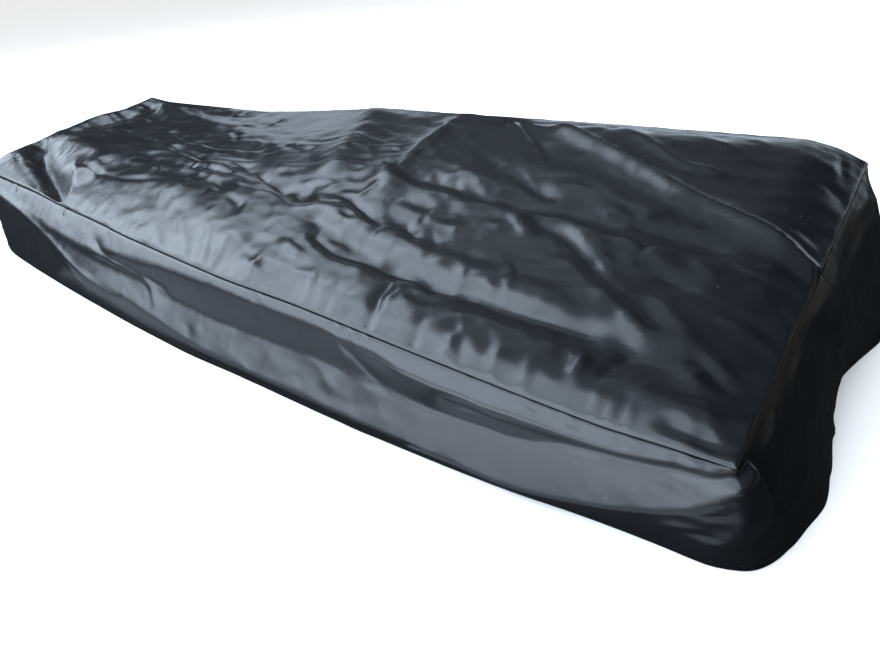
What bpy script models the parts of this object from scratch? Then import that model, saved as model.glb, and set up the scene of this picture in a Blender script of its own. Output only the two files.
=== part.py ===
"""A fitted dust cover for a portable digital piano, of black coated cloth, as it hangs on the instrument.

The cover is sewn from three panels, and each is one solid sheet: a top panel, and two bands that carry the
hem and meet in an upright seam half way along each end. It is hollow and open below.

Frame: metres, +X along the instrument, +Y to its back, +Z up, z = 0 at the hem, origin at the middle of the
footprint. The top slopes: it is low along the front and high along the back.

A place on the outline is given by its turn: 0 to 1 runs along the front from the far left corner to the near
right one, 1 to 2 along the right end, 2 to 3 along the back, and 3 to 4 along the left end.
"""

import math
from bisect import bisect_right
from collections import namedtuple

import bmesh
import bpy
from mathutils import Vector

# Driving sizes
LENGTH = 1.400
DEPTH = 0.440
CLOTH = 0.002  # thickness of the sheet
SEAM_DROP = CLOTH + 0.0016  # a band starts this far under the face of the top panel,
SEAM_LIP = 0.001  # and this far inside its edge
UPRIGHT_SEAM = 0.0008  # gap between the two bands where they meet
HEM_HEIGHT = 0.0005  # so that the hem's inner edge, which hangs a little askew, doesn't dip below the base

# Number of cells in each sheet, and how much they draw together towards the corners of the seam
CELLS_ALONG = 60
CELLS_ACROSS = 28
BAND_ROWS = (0.0, 0.08, 0.17, 0.28, 0.42, 0.56, 0.70, 0.84, 1.0)  # shares of a band's fall
CROWDING = 0.4
NEAR = 0.01  # a column this few turns from a band's end gives way to it

TURNS = 4
RIGHT_UPRIGHT_SEAM = 1.53
LEFT_UPRIGHT_SEAM = 3.5

# The four corners of the top seam, and how each edge between them strays from a straight line.
CORNERS = (
    Vector((-0.680, -0.200, 0.1440)),
    Vector((0.698, -0.2245, 0.1205)),
    Vector((0.698, 0.229, 0.2040)),
    Vector((-0.710, 0.188, 0.1950)),
)
Stray = namedtuple("Stray", "along out up")
EDGES = (
    (
        Stray(0.00, 0.0, 0.0),
        Stray(0.065, 0.006, 0.0035),
        Stray(0.17, 0.008, 0.003),
        Stray(0.26, 0.0135, 0.002),
        Stray(0.34, 0.016, 0.001),
        Stray(0.42, 0.020, -0.0005),
        Stray(0.56, 0.020, -0.003),
        Stray(0.67, 0.013, -0.004),
        Stray(0.80, 0.0105, -0.0047),
        Stray(0.92, 0.0065, -0.005),
        Stray(0.97, 0.002, -0.002),
        Stray(1.00, 0.0, 0.0),
    ),
    (
        Stray(0.0, 0.0, 0.0),
        Stray(0.5, 0.0, 0.001),
        Stray(1.0, 0.0, 0.0),
    ),
    (
        Stray(0.00, 0.0, 0.0),
        Stray(0.025, -0.001, 0.0145),
        Stray(0.05, -0.002, 0.021),
        Stray(0.16, -0.004, 0.0215),
        Stray(0.40, -0.004, 0.0185),
        Stray(0.48, -0.002, 0.0175),
        Stray(0.56, 0.0, 0.009),
        Stray(0.66, 0.003, -0.003),
        Stray(0.74, 0.006, -0.0095),
        Stray(0.85, 0.009, -0.010),
        Stray(0.95, 0.006, -0.0085),
        Stray(1.00, 0.0, 0.0),
    ),
    (
        Stray(0.00, 0.0, 0.0),
        Stray(0.15, 0.002, -0.001),
        Stray(0.40, 0.006, 0.009),
        Stray(0.80, 0.006, 0.0085),
        Stray(0.92, 0.002, 0.0055),
        Stray(1.00, 0.0, 0.0),
    ),
)

# The crown of the top panel over its seams, at three lines from front to back. The front line, at which the slope
# that rises from the front seam ends, lies further back on the left.
MIDDLE_LINE = 0.50
BACK_LINE = 0.86
Crown = namedtuple("Crown", "x slope front middle back")
CROWNS = (
    Crown(-0.70, 0.10, 0.000, 0.000, 0.000),
    Crown(-0.64, 0.16, 0.009, -0.003, -0.002),
    Crown(-0.50, 0.25, 0.020, 0.004, 0.001),
    Crown(-0.30, 0.27, 0.023, 0.006, 0.002),
    Crown(-0.12, 0.27, 0.023, 0.008, 0.006),
    Crown(0.00, 0.22, 0.020, 0.015, 0.013),
    Crown(0.14, 0.09, 0.0135, 0.016, 0.014),
    Crown(0.35, 0.06, 0.0105, 0.012, 0.013),
    Crown(0.55, 0.055, 0.0095, 0.011, 0.013),
    Crown(0.66, 0.05, 0.0065, 0.007, 0.009),
    Crown(0.698, 0.10, 0.000, 0.000, 0.000),
)

# Ridges (height above 0) and troughs (below 0) of the top panel, each along a line with a bow to its left.
Fold = namedtuple("Fold", "x1 y1 x2 y2 bow width height")
FOLDS = (
    Fold(0.00, 0.215, 0.10, -0.010, 0.000, 0.034, 0.008),  # edge of the raised right part
    Fold(0.188, 0.190, 0.200, 0.010, 0.000, 0.020, 0.006),  # ridge up from the tented point
    Fold(0.180, 0.000, 0.206, -0.020, 0.000, 0.022, 0.008),  # tented point
    Fold(0.21, 0.004, 0.60, -0.008, -0.004, 0.015, -0.005),  # long trough towards the right end
    Fold(0.21, -0.030, 0.60, -0.046, -0.002, 0.020, 0.0015),  # its lower lip
    Fold(0.38, 0.146, 0.69, 0.010, -0.004, 0.014, 0.0045),  # slanting ridge
    Fold(0.17, -0.120, 0.58, -0.160, -0.012, 0.017, -0.006),  # trough near the front seam
    Fold(0.17, -0.098, 0.62, -0.138, -0.010, 0.015, 0.0035),  # its upper lip
    Fold(-0.03, -0.055, 0.10, -0.082, 0.002, 0.018, -0.009),  # sharp pleat in the middle
    Fold(-0.72, 0.000, -0.36, -0.150, 0.006, 0.036, 0.008),  # broad roll at the left
    Fold(-0.70, -0.092, -0.36, -0.208, 0.004, 0.024, -0.012),  # hollow before it
    Fold(-0.70, 0.170, -0.55, 0.100, 0.006, 0.022, -0.010),  # pinch under the raised back corner
    Fold(-0.60, 0.152, -0.32, 0.100, -0.006, 0.026, 0.008),  # roll beside it
    Fold(-0.66, 0.090, -0.66, -0.030, 0.000, 0.034, -0.010),  # dip inside the left end
    Fold(-0.50, -0.050, -0.10, -0.060, 0.006, 0.022, 0.005),  # long low ridge of the left part
    Fold(-0.40, -0.130, -0.04, -0.105, -0.006, 0.022, -0.005),  # trough below it
    Fold(-0.20, -0.120, 0.08, -0.190, 0.000, 0.024, 0.005),  # slack beside the front seam
    Fold(0.33, 0.054, 0.45, 0.004, 0.002, 0.018, -0.0035),  # short trough above the long one
)
FOLD_END = 0.05  # a fold runs out over this length

# The heights of a band, as shares of its fall from the seam, at which its slope changes: where it rolls out, is
# hollow and bellies out. The changes are crisp where their softness is low.
Level = namedtuple("Level", "turn roll hollow belly softness")
LEVELS = (
    Level(0.00, 0.08, 0.10, 0.13, 0.015),
    Level(0.06, 0.12, 0.14, 0.17, 0.02),
    Level(0.145, 0.17, 0.19, 0.23, 0.02),
    Level(0.20, 0.20, 0.23, 0.29, 0.03),
    Level(0.25, 0.21, 0.26, 0.37, 0.03),
    Level(0.33, 0.25, 0.32, 0.52, 0.04),
    Level(0.42, 0.17, 0.39, 0.62, 0.05),
    Level(0.50, 0.11, 0.46, 0.75, 0.04),
    Level(0.60, 0.09, 0.48, 0.83, 0.04),
    Level(0.72, 0.10, 0.44, 0.83, 0.04),
    Level(0.80, 0.16, 0.46, 0.82, 0.04),
    Level(0.87, 0.17, 0.41, 0.84, 0.04),
    Level(0.93, 0.14, 0.26, 0.66, 0.03),
    Level(0.965, 0.11, 0.17, 0.48, 0.03),
    Level(0.985, 0.08, 0.11, 0.29, 0.02),
    Level(1.00, 0.05, 0.07, 0.115, 0.015),
    Level(1.02, 0.04, 0.06, 0.10, 0.015),
    Level(1.032, 0.04, 0.06, 0.10, 0.015),
    Level(1.045, 0.05, 0.09, 0.14, 0.02),
    Level(1.07, 0.09, 0.24, 0.44, 0.06),
    Level(1.15, 0.15, 0.38, 0.72, 0.12),
    Level(3.85, 0.15, 0.38, 0.72, 0.12),
)

# The hem, and how far a band stands out from a straight fall at those heights.
Hem = namedtuple("Hem", "turn x y roll hollow belly")
HEMS = (
    Hem(0.00, -0.672, -0.219, 0.0085, 0.0090, 0.0090),
    Hem(0.05, -0.615, -0.2385, 0.0125, 0.0135, 0.0150),
    Hem(0.14, -0.500, -0.2485, 0.0165, 0.0175, 0.0190),
    Hem(0.26, -0.335, -0.2565, 0.0195, 0.0195, 0.0230),
    Hem(0.33, -0.235, -0.2600, 0.0205, 0.0180, 0.0260),
    Hem(0.42, -0.100, -0.2630, 0.0128, 0.0048, 0.0170),
    Hem(0.50, 0.006, -0.2635, 0.0082, -0.0025, 0.0115),
    Hem(0.60, 0.131, -0.2580, 0.006, -0.0042, 0.0112),
    Hem(0.72, 0.300, -0.2520, 0.0065, -0.003, 0.0115),
    Hem(0.80, 0.411, -0.2450, 0.0105, -0.0005, 0.0135),
    Hem(0.87, 0.512, -0.2355, 0.010, -0.002, 0.0145),
    Hem(0.93, 0.602, -0.2228, 0.0095, 0.000, 0.0175),
    Hem(0.965, 0.655, -0.2178, 0.0075, 0.003, 0.0165),
    Hem(0.985, 0.690, -0.2155, 0.006, 0.004, 0.016),
    Hem(1.00, 0.722, -0.2020, 0.001, 0.000, 0.0090),
    Hem(1.02, 0.737, -0.1780, 0.001, 0.000, 0.0105),
    Hem(1.032, 0.7405, -0.1675, 0.001, 0.000, 0.0095),
    Hem(1.045, 0.7440, -0.1570, 0.001, 0.001, 0.0020),
    Hem(1.07, 0.748, -0.1390, 0.003, 0.003, 0.004),
    Hem(1.15, 0.757, -0.0950, 0.005, 0.006, 0.005),
    Hem(1.25, 0.754, -0.0500, 0.006, 0.007, 0.006),
    Hem(1.40, 0.742, 0.0250, 0.008, 0.012, 0.009),
    Hem(1.53, 0.738, 0.1000, 0.014, 0.019, 0.009),
    Hem(1.63, 0.747, 0.1480, 0.011, 0.015, 0.010),
    Hem(1.78, 0.762, 0.2020, 0.009, 0.012, 0.008),
    Hem(1.90, 0.768, 0.2380, 0.010, 0.012, 0.008),
    Hem(1.975, 0.756, 0.2620, 0.011, 0.012, 0.008),
    Hem(2.02, 0.712, 0.2680, 0.007, 0.008, 0.006),
    Hem(2.08, 0.622, 0.2630, 0.005, 0.002, 0.008),
    Hem(2.20, 0.430, 0.2520, 0.006, 0.001, 0.009),
    Hem(2.40, 0.140, 0.2610, 0.007, 0.002, 0.008),
    Hem(2.60, -0.140, 0.2550, 0.006, 0.002, 0.009),
    Hem(2.80, -0.430, 0.2500, 0.006, 0.003, 0.008),
    Hem(2.94, -0.640, 0.2410, 0.005, 0.004, 0.006),
    Hem(2.99, -0.710, 0.2290, 0.003, 0.003, 0.004),
    Hem(3.03, -0.744, 0.2000, 0.003, 0.004, 0.004),
    Hem(3.20, -0.764, 0.1200, 0.004, 0.004, 0.006),
    Hem(3.50, -0.750, 0.0100, 0.006, 0.008, 0.008),
    Hem(3.80, -0.752, -0.1050, 0.004, 0.004, 0.004),
    Hem(3.95, -0.705, -0.1950, 0.003, 0.002, 0.000),
)

BLACK_CLOTH = (0.012, 0.013, 0.016)
CLOTH_ROUGHNESS = 0.42


def curve_through(stations, values):
    """A smooth function through the values at rising stations, which never overshoots them."""
    gaps = [b - a for a, b in zip(stations, stations[1:])]
    rates = [(b - a) / gap for a, b, gap in zip(values, values[1:], gaps)]
    slopes = [rates[0]]
    for i in range(1, len(rates)):
        before, after = rates[i - 1], rates[i]
        both = gaps[i - 1] + gaps[i]
        slope = 0.0
        if before * after > 0:
            slope = 3 * both / ((both + gaps[i]) / before + (both + gaps[i - 1]) / after)
        slopes.append(slope)
    slopes.append(rates[-1])

    def value(at):
        i = min(max(bisect_right(stations, at) - 1, 0), len(gaps) - 1)
        t = min(max((at - stations[i]) / gaps[i], 0.0), 1.0)
        rise = values[i + 1] - values[i]
        start, end = slopes[i] * gaps[i], slopes[i + 1] * gaps[i]
        return values[i] + start * t + (3 * rise - 2 * start - end) * t**2 + (start + end - 2 * rise) * t**3

    return value


def bent_line(stations, values, softness):
    """A function that runs straight between values at rising stations, and rounds its bends a little."""
    areas = [0.0]
    for i in range(len(stations) - 1):
        areas.append(areas[-1] + (values[i] + values[i + 1]) / 2 * (stations[i + 1] - stations[i]))

    def straight(at):
        i = min(max(bisect_right(stations, at) - 1, 0), len(stations) - 2)
        share = (at - stations[i]) / (stations[i + 1] - stations[i])
        return i, values[i] + (values[i + 1] - values[i]) * share

    def area(at):
        i, value = straight(at)
        return areas[i] + (values[i] + value) / 2 * (at - stations[i])

    def value(at):
        reach = min(softness, at - stations[0], stations[-1] - at)
        if reach < 1e-6:
            return straight(min(max(at, stations[0]), stations[-1]))[1]
        return (area(at + reach) - area(at - reach)) / (2 * reach)

    return value


def column(rows, key, name):
    """A smooth function through one named column of a table, over another one."""
    return curve_through([getattr(row, key) for row in rows], [getattr(row, name) for row in rows])


def around(rows, name):
    """The like for a column of the hem table, which closes on itself after four turns."""
    last, first, second = rows[-1], rows[0], rows[1]
    stations = [last.turn - TURNS] + [row.turn for row in rows] + [first.turn + TURNS, second.turn + TURNS]
    values = [getattr(row, name) for row in (last, *rows, first, second)]
    return curve_through(stations, values)


EDGE_OUT = [column(rows, "along", "out") for rows in EDGES]
EDGE_UP = [column(rows, "along", "up") for rows in EDGES]
CROWN_LINES = [column(CROWNS, "x", name) for name in ("front", "middle", "back")]
SLOPE_END = column(CROWNS, "x", "slope")
HEM_COLUMNS = {name: around(HEMS, name) for name in ("x", "y", "roll", "hollow", "belly")}
LEVEL_COLUMNS = {name: around(LEVELS, name) for name in ("roll", "hollow", "belly")}
SOFTNESS = around(LEVELS, "softness")


def edge_point(side, along):
    """A point of one edge of the top seam, on the outer face of the top panel."""
    start, end = CORNERS[side], CORNERS[(side + 1) % TURNS]
    run = end - start
    outward = Vector((run.y, -run.x, 0.0)).normalized()
    rise = Vector((0.0, 0.0, EDGE_UP[side](along)))
    return start.lerp(end, along) + outward * EDGE_OUT[side](along) + rise


def seam_point(turn):
    turn %= TURNS
    return edge_point(int(turn), turn - int(turn))


def smooth_step(value):
    value = min(max(value, 0.0), 1.0)
    return value * value * (3 - 2 * value)


def fold_height(fold, x, y):
    """How much one fold raises or lowers the top panel at a place."""
    run_x, run_y = fold.x2 - fold.x1, fold.y2 - fold.y1
    length = math.hypot(run_x, run_y)
    away_x, away_y = x - fold.x1, y - fold.y1
    along = (away_x * run_x + away_y * run_y) / length
    aside = (away_y * run_x - away_x * run_y) / length
    share = min(max(along / length, 0.0), 1.0)
    aside -= fold.bow * 4 * share * (1 - share)
    beyond = max(-along, along - length, 0.0)
    fade = smooth_step(1 - beyond / FOLD_END)
    return fold.height * fade * math.exp(-((aside / fold.width) ** 2))


def crown_height(x, across):
    """The crown of the top panel, from 0 at the front seam to 1 at the back one."""
    heights = [line(x) for line in CROWN_LINES]
    section = curve_through([0.0, SLOPE_END(x), MIDDLE_LINE, BACK_LINE, 1.0], [0.0, *heights, 0.0])
    return section(across)


def top_point(along, across):
    """A point of the top panel: a patch spanned by its four seams, with its crown and its folds."""
    front, back = edge_point(0, along), edge_point(2, 1 - along)
    right, left = edge_point(1, across), edge_point(3, 1 - across)
    front_left, front_right, back_right, back_left = CORNERS
    flat = front_left.lerp(front_right, along).lerp(back_left.lerp(back_right, along), across)
    point = front.lerp(back, across) + left.lerp(right, along) - flat
    from_seam = min(along, 1 - along) * LENGTH, min(across, 1 - across) * DEPTH
    inside = smooth_step(min(from_seam) / FOLD_END)
    folds = sum(fold_height(fold, point.x, point.y) for fold in FOLDS)
    point.z += crown_height(point.x, across) + inside * folds
    return point


def hem_point(turn):
    turn %= TURNS
    return Vector((HEM_COLUMNS["x"](turn), HEM_COLUMNS["y"](turn), HEM_HEIGHT))


def outward_at(turn):
    """The level direction that points away from the cover at a turn of its hem."""
    run = hem_point(turn + NEAR) - hem_point(turn - NEAR)
    return Vector((run.y, -run.x, 0.0)).normalized()


def band_point(turn, down):
    """A point of a band, from 0 at the top seam to 1 at the hem."""
    outward = outward_at(turn)
    top = seam_point(turn) - Vector((0.0, 0.0, SEAM_DROP)) - outward * SEAM_LIP
    levels = [column(turn % TURNS) for column in LEVEL_COLUMNS.values()]
    stands = [HEM_COLUMNS[name](turn % TURNS) for name in LEVEL_COLUMNS]
    profile = bent_line([0.0, *levels, 1.0], [0.0, *stands, 0.0], SOFTNESS(turn % TURNS))
    return top.lerp(hem_point(turn), down) + outward * profile(down)


def stations(cells):
    """Shares along an edge of the top panel, from 0 to 1, which lie closer together towards its ends."""
    full_turn = 2 * math.pi
    return [i / cells - CROWDING * math.sin(full_turn * i / cells) / full_turn for i in range(cells + 1)]


def band_turns(first, last):
    """The turns of a band's columns of points: those of the top panel's edges, and its own two ends."""
    turns = [first]
    for side in range(-1, TURNS):
        shares = stations(CELLS_ACROSS if side % 2 else CELLS_ALONG)[:-1]
        turns += [side + share for share in shares if first + NEAR < side + share < last - NEAR]
    return turns + [last]


def cloth_material(name):
    material = bpy.data.materials.new(name)
    material.use_nodes = True
    shader = material.node_tree.nodes["Principled BSDF"]
    shader.inputs["Base Color"].default_value = (*BLACK_CLOTH, 1.0)
    shader.inputs["Roughness"].default_value = CLOTH_ROUGHNESS
    shader.inputs["Metallic"].default_value = 0.0
    return material


def sheet(name, across, upward, place, collection):
    """A sheet of cloth: a grid with its columns and rows at two lists of stations, given thickness."""
    mesh = bpy.data.meshes.new(name)
    grid = bmesh.new()
    columns, rows = len(across) - 1, len(upward) - 1
    bmesh.ops.create_grid(grid, x_segments=columns, y_segments=rows, size=0.5)
    for vert in grid.verts:
        column_number = round((vert.co.x + 0.5) * columns)
        row_number = round((vert.co.y + 0.5) * rows)
        vert.co = place(across[column_number], upward[row_number])
    grid.to_mesh(mesh)
    grid.free()
    mesh.materials.append(cloth_material(name + "_cloth"))
    mesh.shade_smooth()
    obj = bpy.data.objects.new(name, mesh)
    collection.objects.link(obj)
    solidify = obj.modifiers.new("Thickness", "SOLIDIFY")
    solidify.thickness = CLOTH
    solidify.offset = -1.0
    solidify.use_even_offset = True
    return obj


def band(name, first, last, collection):
    """A band between two turns, with its hem, laid out from the hem up so that its face looks outward."""
    half_gap = UPRIGHT_SEAM / 2 / DEPTH
    turns = band_turns(first + half_gap, last - half_gap)
    upward = [1 - row for row in BAND_ROWS[::-1]]
    return sheet(name, turns, upward, band_point, collection)


def main():
    for obj in list(bpy.data.objects):
        bpy.data.objects.remove(obj, do_unlink=True)
    collection = bpy.data.collections.new("piano_cover")
    bpy.context.scene.collection.children.link(collection)
    sheet("top_panel", stations(CELLS_ALONG), stations(CELLS_ACROSS), top_point, collection)
    band("front_band", LEFT_UPRIGHT_SEAM - TURNS, RIGHT_UPRIGHT_SEAM, collection)
    band("back_band", RIGHT_UPRIGHT_SEAM, LEFT_UPRIGHT_SEAM, collection)


main()
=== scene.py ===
"""The looks of a fitted dust cover of black coated cloth for a portable digital piano.

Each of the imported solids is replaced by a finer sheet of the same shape: the top panel, and the two bands
that carry the hem. Both follow the same named tables as the solids, and add what those leave out: creases,
puckers along the seams, the slight crumple of the cloth, its turned and stitched hem, and its weave.

Frame: metres, +X along the instrument, +Y to its back, +Z up, z = 0 at the hem.

A place on the outline is given by its turn: 0 to 1 runs along the front from the far left corner to the near
right one, 1 to 2 along the right end, 2 to 3 along the back, and 3 to 4 along the left end.
"""

import math
from bisect import bisect_right
from collections import defaultdict, namedtuple
from functools import cache
from random import Random

import bmesh
import bpy
from mathutils import Matrix, Vector, noise


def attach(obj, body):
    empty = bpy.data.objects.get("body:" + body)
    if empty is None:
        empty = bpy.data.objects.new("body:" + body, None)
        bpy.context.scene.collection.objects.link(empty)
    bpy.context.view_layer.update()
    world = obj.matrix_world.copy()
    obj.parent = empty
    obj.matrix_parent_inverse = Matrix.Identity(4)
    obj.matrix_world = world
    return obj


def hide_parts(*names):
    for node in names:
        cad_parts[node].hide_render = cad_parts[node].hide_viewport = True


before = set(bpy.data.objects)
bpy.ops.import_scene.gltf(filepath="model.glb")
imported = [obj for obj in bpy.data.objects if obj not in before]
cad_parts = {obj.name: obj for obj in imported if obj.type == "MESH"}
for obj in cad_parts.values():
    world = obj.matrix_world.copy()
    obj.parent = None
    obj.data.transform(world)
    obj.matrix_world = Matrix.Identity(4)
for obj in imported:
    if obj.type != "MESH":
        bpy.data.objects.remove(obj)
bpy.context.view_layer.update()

# Driving sizes, as in the solids
LENGTH = 1.400
DEPTH = 0.440
CLOTH = 0.002  # thickness of the sheet
SEAM_DROP = 0.0030  # a band starts this far under the face of the top panel, in the groove of the seam,
SEAM_LIP = 0.0022  # and this far inside its edge
UPRIGHT_SEAM = 0.0008  # gap between the two bands where they meet
HEM_HEIGHT = 0.0005

TURNS = 4
RIGHT_UPRIGHT_SEAM = 1.53
LEFT_UPRIGHT_SEAM = 3.5
NEAR = 0.01  # a short step along the outline, in turns, for reading its direction


# The four corners of the top seam, and how each edge between them strays from a straight line.
CORNERS = (
    Vector((-0.680, -0.200, 0.1440)),
    Vector((0.698, -0.2245, 0.1205)),
    Vector((0.698, 0.229, 0.2040)),
    Vector((-0.710, 0.188, 0.1950)),
)
Stray = namedtuple("Stray", "along out up")
EDGE_START = Stray(0.0, 0.0, 0.0)
EDGE_END = Stray(1.0, 0.0, 0.0)
EDGES = (
    (
        Stray(0.065, 0.006, 0.0035),
        Stray(0.17, 0.008, 0.003),
        Stray(0.26, 0.0135, 0.002),
        Stray(0.34, 0.016, 0.001),
        Stray(0.42, 0.020, -0.0005),
        Stray(0.56, 0.020, -0.003),
        Stray(0.67, 0.013, -0.004),
        Stray(0.80, 0.0105, -0.0047),
        Stray(0.92, 0.0065, -0.005),
        Stray(0.97, 0.002, -0.002),
    ),
    (Stray(0.5, 0.0, 0.001),),
    (
        Stray(0.025, -0.001, 0.0145),
        Stray(0.05, -0.002, 0.021),
        Stray(0.16, -0.004, 0.0215),
        Stray(0.40, -0.004, 0.0185),
        Stray(0.48, -0.002, 0.0175),
        Stray(0.56, 0.0, 0.009),
        Stray(0.66, 0.003, -0.003),
        Stray(0.74, 0.006, -0.0095),
        Stray(0.85, 0.009, -0.010),
        Stray(0.95, 0.006, -0.0085),
    ),
    (
        Stray(0.15, 0.002, -0.001),
        Stray(0.40, 0.006, 0.009),
        Stray(0.80, 0.006, 0.0085),
        Stray(0.92, 0.002, 0.0055),
    ),
)

# The crown of the top panel over its seams, at three lines from front to back. The slope up from the front
# seam ends at the first of them, which lies further back on the left.
MIDDLE_LINE = 0.50
BACK_LINE = 0.86
Crown = namedtuple("Crown", "x slope front middle back")
CROWNS = (
    Crown(-0.70, 0.10, 0.000, 0.000, 0.000),
    Crown(-0.64, 0.16, 0.009, -0.003, -0.002),
    Crown(-0.50, 0.25, 0.020, 0.004, 0.001),
    Crown(-0.30, 0.27, 0.023, 0.006, 0.002),
    Crown(-0.12, 0.27, 0.023, 0.008, 0.006),
    Crown(0.00, 0.22, 0.020, 0.015, 0.013),
    Crown(0.14, 0.09, 0.0135, 0.016, 0.014),
    Crown(0.35, 0.06, 0.0105, 0.012, 0.013),
    Crown(0.55, 0.055, 0.0095, 0.011, 0.013),
    Crown(0.66, 0.05, 0.0065, 0.007, 0.009),
    Crown(0.698, 0.10, 0.000, 0.000, 0.000),
)

# Ridges (height above 0) and troughs (below 0) of the top panel, each along a line with a bow to its left.
Fold = namedtuple("Fold", "x1 y1 x2 y2 bow width height")
FOLDS = (
    Fold(0.00, 0.215, 0.10, -0.010, 0.000, 0.034, 0.008),  # edge of the raised right part
    Fold(0.188, 0.190, 0.200, 0.010, 0.000, 0.020, 0.006),  # ridge up from the tented point
    Fold(0.180, 0.000, 0.206, -0.020, 0.000, 0.022, 0.008),  # tented point
    Fold(0.21, 0.004, 0.60, -0.008, -0.004, 0.015, -0.005),  # long trough towards the right end
    Fold(0.21, -0.030, 0.60, -0.046, -0.002, 0.020, 0.0015),  # its lower lip
    Fold(0.38, 0.146, 0.69, 0.010, -0.004, 0.014, 0.0045),  # slanting ridge
    Fold(0.17, -0.120, 0.58, -0.160, -0.012, 0.017, -0.006),  # trough near the front seam
    Fold(0.17, -0.098, 0.62, -0.138, -0.010, 0.015, 0.0035),  # its upper lip
    Fold(-0.03, -0.055, 0.10, -0.082, 0.002, 0.018, -0.009),  # sharp pleat in the middle
    Fold(-0.72, 0.000, -0.36, -0.150, 0.006, 0.036, 0.008),  # broad roll at the left
    Fold(-0.70, -0.092, -0.36, -0.208, 0.004, 0.024, -0.012),  # hollow before it
    Fold(-0.70, 0.170, -0.55, 0.100, 0.006, 0.022, -0.010),  # pinch under the raised back corner
    Fold(-0.60, 0.152, -0.32, 0.100, -0.006, 0.026, 0.008),  # roll beside it
    Fold(-0.66, 0.090, -0.66, -0.030, 0.000, 0.034, -0.010),  # dip inside the left end
    Fold(-0.50, -0.050, -0.10, -0.060, 0.006, 0.022, 0.005),  # long low ridge of the left part
    Fold(-0.40, -0.130, -0.04, -0.105, -0.006, 0.022, -0.005),  # trough below it
    Fold(-0.20, -0.120, 0.08, -0.190, 0.000, 0.024, 0.005),  # slack beside the front seam
    Fold(0.33, 0.054, 0.45, 0.004, 0.002, 0.018, -0.0035),  # short trough above the long one
)
FOLD_END = 0.05  # a fold runs out over this length

# The heights of a band at which its slope changes, as shares of its fall: where it rolls out, is hollow and
# bellies out. The changes are crisp where their softness is low.
Level = namedtuple("Level", "turn roll hollow belly softness")
LEVELS = (
    Level(0.00, 0.08, 0.10, 0.13, 0.015),
    Level(0.06, 0.12, 0.14, 0.17, 0.02),
    Level(0.145, 0.17, 0.19, 0.23, 0.02),
    Level(0.20, 0.20, 0.23, 0.29, 0.03),
    Level(0.25, 0.21, 0.26, 0.37, 0.03),
    Level(0.33, 0.25, 0.32, 0.52, 0.04),
    Level(0.42, 0.17, 0.39, 0.62, 0.05),
    Level(0.50, 0.11, 0.46, 0.75, 0.04),
    Level(0.60, 0.09, 0.48, 0.83, 0.04),
    Level(0.72, 0.10, 0.44, 0.83, 0.04),
    Level(0.80, 0.16, 0.46, 0.82, 0.04),
    Level(0.87, 0.17, 0.41, 0.84, 0.04),
    Level(0.93, 0.14, 0.26, 0.66, 0.03),
    Level(0.965, 0.11, 0.17, 0.48, 0.03),
    Level(0.985, 0.08, 0.11, 0.29, 0.02),
    Level(1.00, 0.05, 0.07, 0.115, 0.015),
    Level(1.02, 0.04, 0.06, 0.10, 0.015),
    Level(1.032, 0.04, 0.06, 0.10, 0.015),
    Level(1.045, 0.05, 0.09, 0.14, 0.02),
    Level(1.07, 0.09, 0.24, 0.44, 0.06),
    Level(1.15, 0.15, 0.38, 0.72, 0.12),
    Level(3.85, 0.15, 0.38, 0.72, 0.12),
)

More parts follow.
